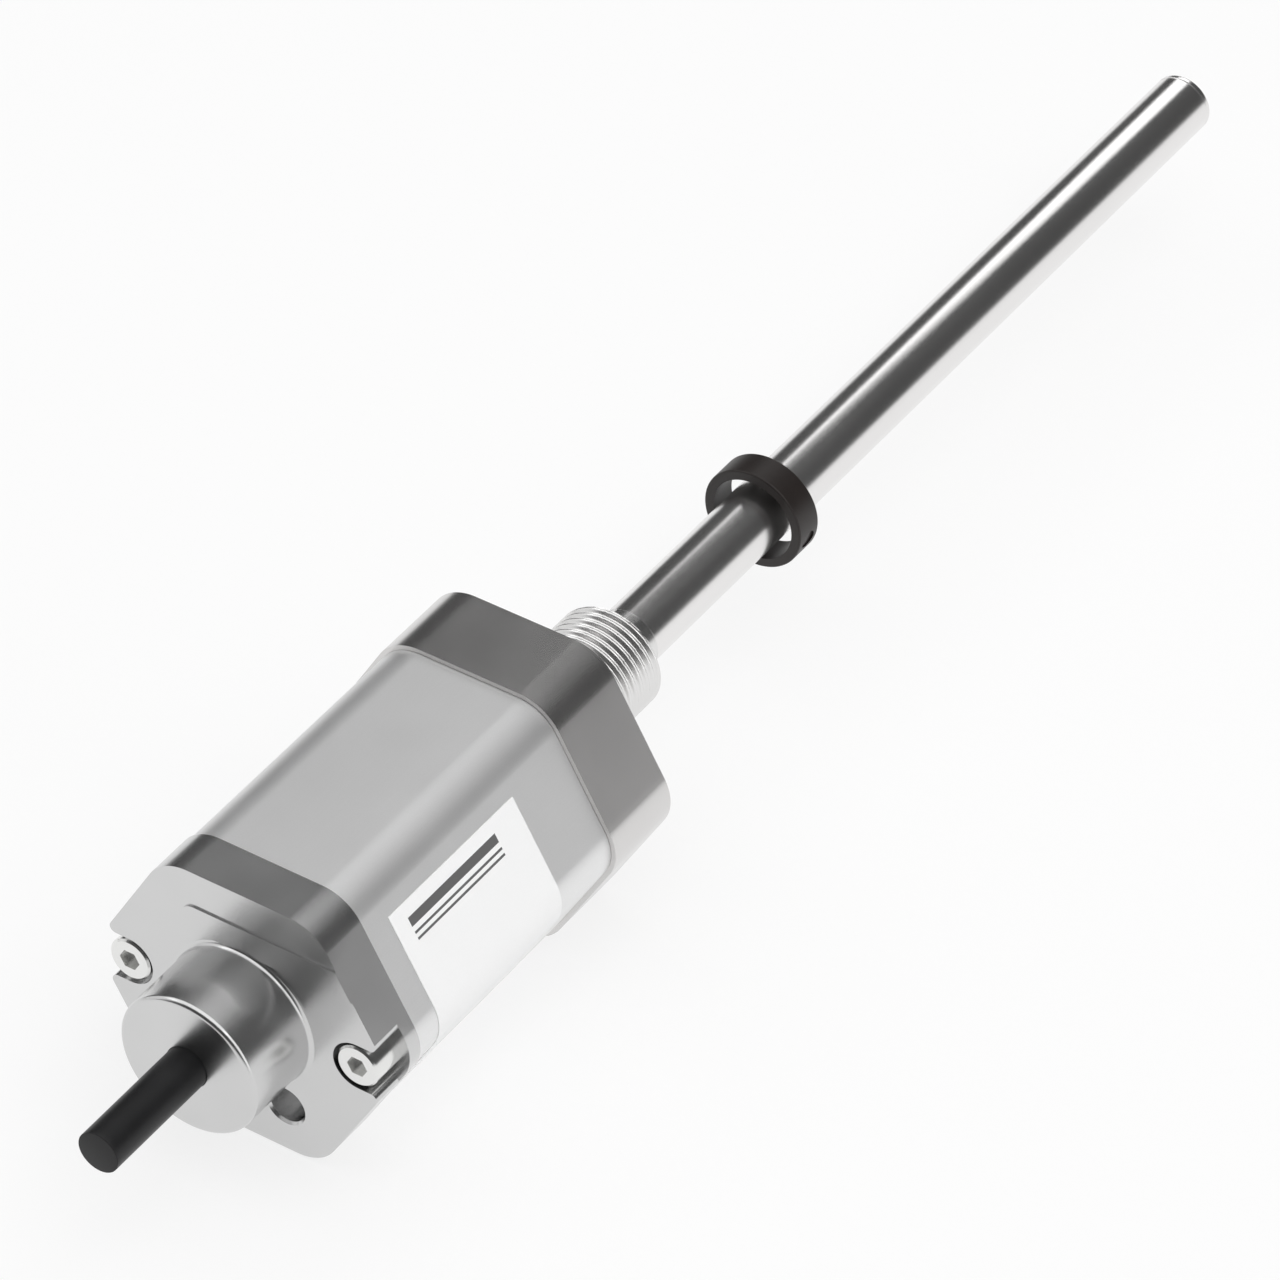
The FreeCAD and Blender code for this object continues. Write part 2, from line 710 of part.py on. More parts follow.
NODES = {
    "mounting_flange": mounting_flange,
    "flange_o_ring": flange_o_ring,
    "pressure_tube": pressure_tube,
    "tube_end_plug": tube_end_plug,
    "waveguide": waveguide,
    "waveguide_sleeve": waveguide_sleeve,
    "return_wire": return_wire,
    "tube_spacers": tube_spacers,
    "waveguide_damper": damper,
    "end_link": end_link,
    "converter_carrier": converter_carrier,
    "coil_bobbin": coil_bobbin,
    "pickup_coil": pickup_coil,
    "waveguide_clamp": waveguide_clamp,
    "bias_magnet": bias_magnet,
    "front_housing_o_ring": lambda: spigot_o_ring(flange_rear_x, -1),
    "housing": housing,
    "rear_housing_o_ring": lambda: spigot_o_ring(housing_rear_x, 1),
    "board_tray": board_tray,
    "circuit_board": circuit_board,
    "board_components": board_components,
    "board_header": board_header,
    "cable_cores": cable_cores,
    "end_cap": end_cap,
    "cap_screws": cap_screws,
    "screw_washers": screw_washers,
    "cable_grommet": cable_grommet,
    "cable_ferrule": cable_ferrule,
    "signal_cable": signal_cable,
    "label": label,
    "position_magnet": position_magnet,
}

os.makedirs("parts", exist_ok=True)
for node, make in NODES.items():
    shape = make()
    shape.exportStep("parts/" + node + ".step")
    print(node, len(shape.Solids), "solids, valid", shape.isValid(), "volume", round(shape.Volume, 2))
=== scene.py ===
import bmesh
import bpy
import math
import numpy as np
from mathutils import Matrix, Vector


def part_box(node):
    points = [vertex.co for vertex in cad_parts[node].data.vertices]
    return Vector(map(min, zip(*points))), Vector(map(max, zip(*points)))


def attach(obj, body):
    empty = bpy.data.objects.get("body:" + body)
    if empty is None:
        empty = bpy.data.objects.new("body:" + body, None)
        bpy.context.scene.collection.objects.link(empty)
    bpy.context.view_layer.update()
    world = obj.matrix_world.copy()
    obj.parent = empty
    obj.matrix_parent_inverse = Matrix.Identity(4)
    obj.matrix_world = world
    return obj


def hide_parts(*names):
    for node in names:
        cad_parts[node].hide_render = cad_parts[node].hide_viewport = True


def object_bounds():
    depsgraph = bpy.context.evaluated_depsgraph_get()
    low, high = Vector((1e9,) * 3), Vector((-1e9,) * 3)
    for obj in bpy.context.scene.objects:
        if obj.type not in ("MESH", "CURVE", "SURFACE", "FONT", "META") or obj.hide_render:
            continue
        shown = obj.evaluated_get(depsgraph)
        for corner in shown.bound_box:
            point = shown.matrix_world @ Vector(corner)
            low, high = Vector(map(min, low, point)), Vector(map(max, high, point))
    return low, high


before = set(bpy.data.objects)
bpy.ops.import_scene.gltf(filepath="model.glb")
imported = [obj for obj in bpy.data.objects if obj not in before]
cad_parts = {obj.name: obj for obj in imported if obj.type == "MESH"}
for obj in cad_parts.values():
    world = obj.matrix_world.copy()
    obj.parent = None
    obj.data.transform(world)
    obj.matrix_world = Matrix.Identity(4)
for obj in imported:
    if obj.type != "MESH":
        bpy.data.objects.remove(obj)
cad_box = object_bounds()


# Mounting flange. A length of 46 mm hexagon bar of stainless steel, turned down on a lathe to an M18 x 1.5
# port thread and a thin nose that holds the pressure tube. It carries every other piece.
MM = 0.001
CORNERS = 6
HALF_CORNER = math.pi / CORNERS
SHARP_ANGLE = math.radians(25)


class Value:
    """One output of a shader node. Arithmetic on it adds Math nodes and gives another Value."""

    def __init__(self, shader, socket):
        self.shader = shader
        self.socket = socket

    def join(self, operation, *terms):
        return self.shader.node("ShaderNodeMath", {"operation": operation}, dict(enumerate(terms)))

    def __add__(self, other):
        return self.join("ADD", self, other)

    def __radd__(self, other):
        return self.join("ADD", other, self)

    def __sub__(self, other):
        return self.join("SUBTRACT", self, other)

    def __rsub__(self, other):
        return self.join("SUBTRACT", other, self)

    def __mul__(self, other):
        return self.join("MULTIPLY", self, other)

    def __rmul__(self, other):
        return self.join("MULTIPLY", other, self)

    def __gt__(self, other):
        return self.join("GREATER_THAN", self, other)

    def __lt__(self, other):
        return self.join("LESS_THAN", self, other)


class Shader:
    """The node tree of a finish. node() adds any node: its type, its settings, then its sockets."""

    def __init__(self, tree):
        self.tree = tree

    def node(self, kind, settings=None, inputs=None, output=0):
        made = self.tree.nodes.new(kind)
        for key, value in (settings or {}).items():
            if key == "stops":
                self.stops(made.color_ramp, value)
            else:
                setattr(made, key, value)
        for key, value in (inputs or {}).items():
            self.feed(made.inputs[key], value)
        return Value(self, made.outputs[output])

    def stops(self, ramp, stops):
        for element, (position, colour) in zip(ramp.elements, (stops[0], stops[-1])):
            element.position, element.color = position, (*colour, 1)
        for position, colour in stops[1:-1]:
            ramp.elements.new(position).color = (*colour, 1)

    def feed(self, socket, value):
        if isinstance(value, Value):
            self.tree.links.new(value.socket, socket)
        else:
            socket.default_value = value

    def parts(self, vector):
        """The x, y and z of a vector, as values."""
        split = self.node("ShaderNodeSeparateXYZ", None, {0: vector}).socket.node
        return [Value(self, out) for out in split.outputs]

    def tint(self, factor, first, second):
        """A colour between two others."""
        return self.node("ShaderNodeMix", {"data_type": "RGBA"}, {0: factor, 6: first, 7: second}, output=2)


class Finish(Shader):
    """A procedural material whose patterns read Object coordinates, in metres."""

    def __init__(self, name, **constants):
        self.material = bpy.data.materials.new(name)
        self.material.use_nodes = True
        super().__init__(self.material.node_tree)
        self.surface = self.tree.nodes["Principled BSDF"]
        self.place = self.node("ShaderNodeTexCoord", output="Object")
        for word, value in constants.items():
            socket = word.replace("_", " ").title().replace("Ior", "IOR")
            self.surface.inputs[socket].default_value = value

    def noise(self, size, stretch=(1, 1, 1), detail=2.0):
        """Noise with features of a size in metres, drawn out along an axis by dividing its scale there."""
        scale = [1 / (size * part) for part in stretch]
        place = self.node("ShaderNodeMapping", None, {"Vector": self.place, "Scale": scale})
        return self.node("ShaderNodeTexNoise", None, {"Vector": place, "Scale": 1.0, "Detail": detail})

    def show(self, colour=None, roughness=None, height=None, depth=1e-5):
        """Feeds the sockets that change over the surface. A height becomes a bump of a depth in metres."""
        if colour is not None:
            self.feed(self.surface.inputs["Base Color"], colour)
        if roughness is not None:
            self.feed(self.surface.inputs["Roughness"], roughness)
        if height is not None:
            bump = self.node("ShaderNodeBump", None, {"Height": height, "Strength": 1.0, "Distance": depth})
            self.feed(self.surface.inputs["Normal"], bump)
        return self.material


LATHE_FEED = 1.2 * MM


def turned_steel(name, colour, roughness, rolled=None):
    """Machined metal: faint streaks of gloss along X on the sides, the lathe's rings of gloss on faces
    across X, and the slow waviness of a cut surface. What lies ahead of the sealing face may have the
    colour of a rolled thread."""
    finish = Finish(name, metallic=1.0)
    streaks = finish.noise(LATHE_FEED, stretch=(20, 1, 1), detail=0.0)
    cloud = finish.noise(9 * MM, detail=1.0)
    x, y, z = finish.parts(finish.place)
    radius = finish.node("ShaderNodeMath", {"operation": "SQRT"}, {0: y * y + z * z})
    rings = finish.node("ShaderNodeMath", {"operation": "SINE"}, {0: radius * (2 * math.pi / LATHE_FEED)})
    across, _, _ = finish.parts(finish.node("ShaderNodeNewGeometry", output="Normal"))
    faced = across * across > 0.5
    marks = streaks * (1 - faced) + (0.5 + 0.2 * rings) * faced
    pale = tuple(min(1, 1.06 * part) for part in colour)
    tone = finish.tint(cloud, (*colour, 1), (*pale, 1))
    if rolled:
        tone = finish.tint(x > 0, tone, (*rolled, 1))
    gloss = roughness - 0.03 + 0.04 * cloud + 0.01 * marks
    return finish.show(tone, gloss, finish.noise(8 * MM, detail=0.0), 2e-6)


def corner_angles(across_flats, corner_radius, corner_steps, flat_steps):
    """Angles round a hexagon bar, close together where its corners turn and wider over its flats."""
    turn = corner_reach(across_flats, corner_radius)
    corner = np.linspace(-turn, turn, corner_steps, endpoint=False)
    flat = np.linspace(turn, 2 * HALF_CORNER - turn, flat_steps, endpoint=False)
    sector = np.concatenate([corner, flat])
    starts = np.arange(CORNERS) * 2 * HALF_CORNER
    return (starts[:, None] + sector[None, :]).ravel()


def corner_reach(across_flats, corner_radius):
    """Angle at the axis from a corner's middle to where its arc meets the flat."""
    centre = (across_flats / 2 - corner_radius) / math.cos(HALF_CORNER)
    return math.atan2(corner_radius * math.sin(HALF_CORNER), centre + corner_radius * math.cos(HALF_CORNER))


def hexagon_radius(angles, across_flats, corner_radius):
    """Distance from the axis to a rounded hexagon. On a flat it is the apothem over the cosine of the
    angle from the flat's middle. In a corner it is where the ray leaves the corner's circle. Two corners
    lie on the Y axis."""
    apothem = across_flats / 2
    centre = (apothem - corner_radius) / math.cos(HALF_CORNER)
    away = np.abs((angles + HALF_CORNER) % (2 * HALF_CORNER) - HALF_CORNER)
    reach = np.sqrt(np.maximum(corner_radius ** 2 - (centre * np.sin(away)) ** 2, 0))
    arc = centre * np.cos(away) + reach
    flat = apothem / np.cos(HALF_CORNER - away)
    return np.where(away < corner_reach(across_flats, corner_radius), arc, flat)


def swept_surface(name, rows, angles, ring=True):
    """Surface round the X axis through rows (x, r), each of the points (x, r cos a, r sin a), where x and
    r may change with the angle a. With ring the last row joins the first, as round a bore; without it
    both ends close on the axis."""
    x, radius = (np.array([row[part] * np.ones_like(angles) for row in rows]) for part in (0, 1))
    points = np.stack([x, radius * np.cos(angles), radius * np.sin(angles)], axis=-1) * MM
    count, turns = x.shape
    index = np.arange(count * turns).reshape(count, turns)
    near = index if ring else index[:-1]
    far = np.roll(index, -1, axis=0) if ring else index[1:]
    quads = np.stack([near, np.roll(near, -1, axis=1), np.roll(far, -1, axis=1), far], axis=-1)
    mesh = bpy.data.meshes.new(name)
    mesh.from_pydata(points.reshape(-1, 3).tolist(), [], quads.reshape(-1, 4).tolist())
    return closed_piece(name, mesh)


def turned_surface(name, profile, turns=144, ring=True):
    """Surface of revolution: each (x, r) of the profile carried once round the X axis."""
    return swept_surface(name, profile, np.linspace(0, 2 * math.pi, turns, endpoint=False), ring)


def closed_piece(name, mesh):
    """Object of a mesh with its doubles merged and faces outwards, smooth but for its sharp edges."""
    work = bmesh.new()
    work.from_mesh(mesh)
    bmesh.ops.remove_doubles(work, verts=work.verts, dist=1e-4 * MM)
    bmesh.ops.recalc_face_normals(work, faces=work.faces)
    work.to_mesh(mesh)
    work.free()
    mesh.shade_smooth()
    mesh.set_sharp_from_angle(angle=SHARP_ANGLE)
    piece = bpy.data.objects.new(name, mesh)
    bpy.context.scene.collection.objects.link(piece)
    weighted = piece.modifiers.new("face normals", "WEIGHTED_NORMAL")
    weighted.keep_sharp = True
    return piece


def settle(piece, material, slot, *nodes, body="sensor"):
    """Gives a piece its material and its body, and hides the CAD nodes that it stands for."""
    piece.data.materials.clear()
    piece.data.materials.append(material)
    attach(piece, body)
    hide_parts(*nodes)


FLANGE_FLATS = 46.0
FLANGE_CORNER = 8.0
FLANGE_REAR = -14.6
EDGE_BREAK = 0.3
THREAD_RADIUS = 9.0
THREAD_PITCH = 1.5
THREAD_DEPTH = 0.6
THREAD_STEPS = 16
GROOVE_RADIUS = 7.75
GROOVE_END = 2.6
STUB_END = 22.7
STUB_CHAMFER = 0.9
NOSE_END = 26.7
NOSE_RADIUS = 5.32
NOSE_BORE = 5.12
NOSE_EDGE = 0.14
SEAL_SEAT = -1.9
SEAL_SEAT_RADIUS = 10.4
SPIGOT_RADIUS = 15.9
SPIGOT_END = -19.6
SPIGOT_GROOVE = (-15.9, -18.2)
SPIGOT_GROOVE_RADIUS = 14.3
CARRIER_SEAT = -12.6
CARRIER_SEAT_RADIUS = 12.0
TUBE_START = -11.1
TUBE_BORE = 3.5


def thread_radius(x, angles):
    """Right-hand rolled thread: the phase is x over the pitch less the share of a turn, and the radius
    follows half a cosine from crest to root. The groove's slope and the end chamfer cut it off."""
    phase = x / THREAD_PITCH - angles / (2 * math.pi)
    turns = THREAD_RADIUS - THREAD_DEPTH * (0.5 - 0.5 * np.cos(2 * math.pi * phase))
    slope = GROOVE_RADIUS + (x - GROOVE_END)
    chamfer = THREAD_RADIUS - (x - STUB_END + STUB_CHAMFER)
    return np.minimum(turns, np.minimum(slope, chamfer))


flange_angles = corner_angles(FLANGE_FLATS, FLANGE_CORNER, 16, 16)
bar = hexagon_radius(flange_angles, FLANGE_FLATS, FLANGE_CORNER)
bar_face = hexagon_radius(flange_angles, FLANGE_FLATS - 2 * EDGE_BREAK, FLANGE_CORNER - EDGE_BREAK)
flange_rows = [
    (TUBE_START, NOSE_BORE),
    (NOSE_END, NOSE_BORE),
    (NOSE_END, NOSE_RADIUS - NOSE_EDGE),
    (NOSE_END - 0.3 * NOSE_EDGE, NOSE_RADIUS - 0.3 * NOSE_EDGE),
    (NOSE_END - NOSE_EDGE, NOSE_RADIUS),
    (STUB_END, NOSE_RADIUS),
]
# The rows of the thread follow its helix: each starts a little further along X as it goes round.
thread_step = THREAD_PITCH / THREAD_STEPS
thread_drift = (flange_angles / (2 * math.pi) * THREAD_PITCH) % thread_step
for station in np.arange(STUB_END, GROOVE_END - 2 * thread_step, -thread_step):
    along = np.clip(station + thread_drift, GROOVE_END, STUB_END)
    flange_rows.append((along, thread_radius(along, flange_angles)))
flange_rows += [
    (SEAL_SEAT, GROOVE_RADIUS),
    (SEAL_SEAT, SEAL_SEAT_RADIUS),
    (0, SEAL_SEAT_RADIUS),
    (0, bar_face),
    (-EDGE_BREAK, bar),
    (FLANGE_REAR, bar),
    (FLANGE_REAR, SPIGOT_RADIUS),
    (SPIGOT_GROOVE[0], SPIGOT_RADIUS),
    (SPIGOT_GROOVE[0], SPIGOT_GROOVE_RADIUS),
    (SPIGOT_GROOVE[1], SPIGOT_GROOVE_RADIUS),
    (SPIGOT_GROOVE[1], SPIGOT_RADIUS),
    (SPIGOT_END, SPIGOT_RADIUS),
    (SPIGOT_END, CARRIER_SEAT_RADIUS),
    (CARRIER_SEAT, CARRIER_SEAT_RADIUS),
    (CARRIER_SEAT, TUBE_BORE),
    (TUBE_START, TUBE_BORE),
]
flange_steel = turned_steel("flange steel", (0.67, 0.66, 0.655), 0.25, rolled=(0.78, 0.775, 0.77))
flange = swept_surface("flange", flange_rows, flange_angles)
settle(flange, flange_steel, "flange_steel", "mounting_flange")


# Port seal. A black nitrile O-ring in the recess at the foot of the thread. It is moulded, with a faint
# satin skin.
def moulded(name, colour, roughness, grain=0.15 * MM, depth=6e-6):
    """Moulded rubber or plastic: one tone with slow clouds, and a fine even grain."""
    finish = Finish(name)
    cloud = finish.noise(6 * MM, detail=3.0)
    dark = tuple(0.82 * part for part in colour)
    tone = finish.tint(cloud, (*dark, 1), (*colour, 1))
    return finish.show(tone, roughness - 0.06 + 0.12 * cloud, finish.noise(grain), depth)


def dress(node, material):
    """Gives a CAD node, whose shape stays, its finish."""
    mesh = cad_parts[node].data
    mesh.materials.clear()
    mesh.materials.append(material)


seal_rubber = moulded("seal rubber", (0.035, 0.035, 0.036), 0.5)
dress("flange_o_ring", seal_rubber)


# Pressure tube and its end plug. A drawn stainless tube of 10.2 mm, ground and polished, welded shut by a
# plug whose seam shows as a thin line near the tip.
TUBE_RADIUS = 5.1
TUBE_END = 187.0
TUBE_TIP = 188.0
PLUG_LENGTH = 5
PLUG_RADIUS = TUBE_BORE - 0.02
SEAM = 0.14
TIP_EDGE = 0.3


def polished_tube(name, colour, roughness):
    """Ground and polished steel: very fine hoops round the rod, and slow clouds in its gloss."""
    finish = Finish(name, metallic=1.0)
    hoops = finish.noise(0.4 * MM, stretch=(1, 30, 30))
    cloud = finish.noise(5 * MM, stretch=(5, 1, 1), detail=1.0)
    pale = tuple(min(1, 1.05 * part) for part in colour)
    tone = finish.tint(cloud, (*colour, 1), (*pale, 1))
    return finish.show(tone, roughness - 0.04 + 0.05 * cloud + 0.03 * hoops, finish.noise(3 * MM), 1e-6)


def rounded_edge(x, radius, size, outward, steps=5):
    """Quarter round from a rim to a face: centre at (x, radius) drawn in by size, along outward."""
    turns = np.linspace(0, math.pi / 2, steps)
    return [(x - outward * size * (1 - math.sin(turn)), radius - size * (1 - math.cos(turn)))
            for turn in turns]


tube_steel = polished_tube("tube steel", (0.80, 0.79, 0.785), 0.225)
tube_steps = np.linspace(TUBE_START, TUBE_END - SEAM, 40)
tube_profile = [(TUBE_START, TUBE_BORE)]
tube_profile += [(x, TUBE_RADIUS) for x in tube_steps]
tube_profile += [(TUBE_END, TUBE_RADIUS - SEAM), (TUBE_END, TUBE_BORE)]
tube = turned_surface("rod", tube_profile)
settle(tube, tube_steel, "tube_steel", "pressure_tube")

plug_profile = [(TUBE_END - PLUG_LENGTH, 0), (TUBE_END - PLUG_LENGTH, PLUG_RADIUS), (TUBE_END, PLUG_RADIUS)]
plug_profile += [(TUBE_END, TUBE_RADIUS - SEAM), (TUBE_END + SEAM, TUBE_RADIUS)]
plug_profile += rounded_edge(TUBE_TIP, TUBE_RADIUS, TIP_EDGE, 1)
plug_profile += [(TUBE_TIP, 0)]
plug = turned_surface("rod_tip", plug_profile, ring=False)
settle(plug, tube_steel, "tube_steel", "tube_end_plug")


# Sensing element. The waveguide wire runs through a white sleeve down the tube, with its return wire
# beside it, red silicone spacers and damper round it, and a brass link at the tip.
BAND_PITCH = 0.4 * MM


def drawn_metal(name, colour, roughness):
    """Drawn wire, winding or plain brass: fine bands across X over a slow change of tone."""
    finish = Finish(name, metallic=1.0)
    bands = finish.node("ShaderNodeTexWave", {"bands_direction": "X"},
                        {"Vector": finish.place, "Scale": 1 / (20 * BAND_PITCH), "Distortion": 1.5})
    cloud = finish.noise(3 * MM)
    dark = tuple(0.8 * part for part in colour)
    tone = finish.tint(cloud, (*dark, 1), (*colour, 1))
    return finish.show(tone, roughness - 0.04 + 0.08 * cloud, bands * 0.6 + cloud * 0.4, 8e-6)


wire_steel = drawn_metal("wire steel", (0.55, 0.55, 0.54), 0.3)
copper = drawn_metal("enamelled copper", (0.72, 0.36, 0.2), 0.28)
brass = drawn_metal("plain brass", (0.75, 0.58, 0.3), 0.32)
sleeve_plastic = moulded("sleeve plastic", (0.85, 0.85, 0.82), 0.45)
spacer_rubber = moulded("silicone rubber", (0.42, 0.13, 0.08), 0.55)
for node, material in (("waveguide", wire_steel), ("waveguide_sleeve", sleeve_plastic),
                       ("return_wire", copper), ("tube_spacers", spacer_rubber),
                       ("waveguide_damper", spacer_rubber), ("end_link", brass)):
    dress(node, material)


# Strain pulse converter. A black glass-filled carrier in the flange's seat holds the coil on its bobbin,
# the brass clamp on the waveguide's end and a small sintered bias magnet.
carrier_plastic = moulded("carrier plastic", (0.06, 0.06, 0.065), 0.5, grain=0.3 * MM, depth=1.2e-5)
bobbin_plastic = moulded("bobbin plastic", (0.72, 0.66, 0.5), 0.45)
bias_ferrite = moulded("sintered ferrite", (0.09, 0.09, 0.092), 0.6, grain=0.08 * MM)
for node, material in (("converter_carrier", carrier_plastic), ("coil_bobbin", bobbin_plastic),
                       ("pickup_coil", copper), ("waveguide_clamp", brass), ("bias_magnet", bias_ferrite)):
    dress(node, material)


# Housing and its two seals. A length of extruded aluminium hexagon with a round bore, matte anodised,
# clamped between flange and cap. An O-ring at each end keeps the bore dry.
HOUSING_FLATS = 44.5
HOUSING_CORNER = 7.5
HOUSING_REAR = -63.0
HOUSING_BORE = 16.0
HOUSING_BREAK = 0.1


def anodised(name, colour, roughness, metallic):
    """Matte anodised aluminium: an even etched grain, and faint die lines along X."""
    finish = Finish(name, metallic=metallic)
    grain = finish.noise(0.22 * MM, detail=3.0)
    lines = finish.noise(0.3 * MM, stretch=(30, 1, 1))
    cloud = finish.noise(14 * MM, detail=2.0)
    speck = grain * 0.6 + lines * 0.2 + cloud * 0.2
    dark = tuple(0.9 * part for part in colour)
    tone = finish.tint(speck, (*dark, 1), (*colour, 1))
    return finish.show(tone, roughness - 0.04 + 0.08 * cloud, grain * 0.7 + lines * 0.3, 5e-6)


housing_aluminium = anodised("matte anodised aluminium", (0.88, 0.88, 0.88), 0.42, 0.9)
housing_angles = corner_angles(HOUSING_FLATS, HOUSING_CORNER, 20, 8)
bar = hexagon_radius(housing_angles, HOUSING_FLATS, HOUSING_CORNER)
bar_face = hexagon_radius(housing_angles, HOUSING_FLATS - 2 * HOUSING_BREAK, HOUSING_CORNER - HOUSING_BREAK)
housing_rows = [
    (HOUSING_REAR, HOUSING_BORE),
    (HOUSING_REAR, bar_face),
    (HOUSING_REAR + HOUSING_BREAK, bar),
    (FLANGE_REAR - HOUSING_BREAK, bar),
    (FLANGE_REAR, bar_face),
    (FLANGE_REAR, HOUSING_BORE),
]
housing = swept_surface("housing_tube", housing_rows, housing_angles)
settle(housing, housing_aluminium, "housing_aluminium", "housing")
dress("front_housing_o_ring", seal_rubber)
dress("rear_housing_o_ring", seal_rubber)


# Electronics. A green board lies on the ledges of a black tray in the bore, with chips and small parts on
# it, and a header that takes the cable's four coloured cores.
TRACKS_PER_METRE = 260.0
CORE_SPACING = 1.25 * MM
CORE_COLOURS = [(0.0, (0.35, 0.16, 0.06)), (0.25, (0.8, 0.8, 0.78)), (0.5, (0.05, 0.12, 0.4)),
                (0.75, (0.02, 0.02, 0.02))]
board_finish = Finish("board laminate")
tracks = board_finish.node("ShaderNodeTexBrick", None,
                           {"Vector": board_finish.place, "Scale": TRACKS_PER_METRE, "Mortar Size": 0.03,
                            "Color1": (0.02, 0.17, 0.07, 1), "Color2": (0.025, 0.2, 0.085, 1),
                            "Mortar": (0.05, 0.3, 0.13, 1)})
board_gloss = 0.3 + 0.1 * board_finish.noise(2 * MM)
board_laminate = board_finish.show(tracks, board_gloss, board_finish.noise(0.3 * MM), 4e-6)
component_plastic = moulded("component plastic", (0.05, 0.05, 0.055), 0.4)
core_finish = Finish("core insulation")
_, core_y, _ = core_finish.parts(core_finish.place)
core_share = core_y * (1 / (len(CORE_COLOURS) * CORE_SPACING)) + 0.5
core_tone = core_finish.node("ShaderNodeValToRGB", {"stops": CORE_COLOURS}, {0: core_share})
core_tone.socket.node.color_ramp.interpolation = "CONSTANT"
core_gloss = 0.3 + 0.1 * core_finish.noise(1 * MM)
core_plastic = core_finish.show(core_tone, core_gloss, core_finish.noise(0.2 * MM), 3e-6)
for node, material in (("board_tray", carrier_plastic), ("circuit_board", board_laminate),
                       ("board_components", component_plastic), ("board_header", bobbin_plastic),
                       ("cable_cores", core_plastic)):
    dress(node, material)


# End cap. A machined aluminium cap, with the round boss for the cable, a U-shaped slot for each screw, a
# low raised pad and a blind hole in its face. A spigot centres it in the housing.
def joined_copy(node, name):
    """Copy of a CAD node with its loose triangles joined, so that its rounds shade smoothly."""
    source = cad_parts[node].data
    points = np.empty(3 * len(source.vertices), np.float32)
    source.vertices.foreach_get("co", points)
    corners = np.empty(len(source.loops), np.int32)
    source.loops.foreach_get("vertex_index", corners)
    mesh = bpy.data.meshes.new(name)
    mesh.from_pydata(points.reshape(-1, 3).tolist(), [], corners.reshape(-1, 3).tolist())
    return closed_piece(name, mesh)


cap_aluminium = turned_steel("satin cap aluminium", (0.62, 0.62, 0.62), 0.25)
cap = joined_copy("end_cap", "cap")
settle(cap, cap_aluminium, "cap_aluminium", "end_cap")


# Cap screws and washers. Two M4 socket head screws of bright stainless steel clamp cap and housing to the
# flange, each on a plain washer at the bottom of its slot.
screw_steel = turned_steel("screw steel", (0.78, 0.78, 0.77), 0.2)
for node, name in (("cap_screws", "socket_screws"), ("screw_washers", "plain_washers")):
    settle(joined_copy(node, name), screw_steel, "screw_steel", node)


# Signal cable with its seal and ferrule. A 6.8 mm cable with a black satin jacket leaves the boss through
# a rubber grommet, held by a crimped brass ferrule, and is cut off square.
CABLE_RADIUS = 3.4
CABLE_EDGE = 0.12
cable_low, cable_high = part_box("signal_cable")
jacket = Finish("cable jacket", specular_ior_level=0.3)
jacket_grain = jacket.noise(0.12 * MM, stretch=(6, 1, 1))
jacket_cloud = jacket.noise(4 * MM, detail=3.0)
jacket_tone = jacket.tint(jacket_cloud, (0.007, 0.007, 0.0075, 1), (0.012, 0.012, 0.013, 1))
cable_jacket = jacket.show(jacket_tone, 0.36 + 0.1 * jacket_cloud, jacket_grain, 6e-6)
cable_rear = cable_low.x / MM
cable_profile = [(cable_rear, 0)]
cable_profile += rounded_edge(cable_rear, CABLE_RADIUS, CABLE_EDGE, -1)[::-1]
cable_profile += [(x, CABLE_RADIUS) for x in np.linspace(cable_rear + 1, cable_high.x / MM, 12)]
cable_profile += [(cable_high.x / MM, 0)]
cable = turned_surface("cable", cable_profile, ring=False)
settle(cable, cable_jacket, "cable_jacket", "signal_cable")
dress("cable_grommet", seal_rubber)
dress("cable_ferrule", brass)


# Label. White polyester film wrapped round one corner of the housing. Its print is one broad grey bar
# with two fine lines under it.
BAR_START, BAR_END = -54.9 * MM, -33.5 * MM
BARS_DOWN = ((-4.0, -2.5), (-1.7, -1.3), (-0.7, -0.3))
label_finish = Finish("label film", coat_weight=0.15, coat_roughness=0.25)
label_x, label_y, label_z = label_finish.parts(label_finish.place)
down = label_y * -math.sin(HALF_CORNER) - label_z * math.cos(HALF_CORNER)
across_bars = (label_x > BAR_START) * (label_x < BAR_END)
bars = None
for start, end in BARS_DOWN:
    bar_mask = (down > start * MM) * (down < end * MM)
    bars = bar_mask if bars is None else bars + bar_mask
facing_up = label_z > 0
print_mask = across_bars * bars * facing_up
paper = label_finish.noise(0.25 * MM)
paper_tone = label_finish.tint(paper, (0.95, 0.95, 0.95, 1), (0.99, 0.99, 0.99, 1))
label_tone = label_finish.tint(print_mask, paper_tone, (0.12, 0.12, 0.12, 1))
label_film = label_finish.show(label_tone, 0.42 - 0.08 * print_mask + 0.04 * paper, paper, 2e-6)
label_copy = joined_copy("label", "label_sheet")
settle(label_copy, label_film, "label_film", "label")


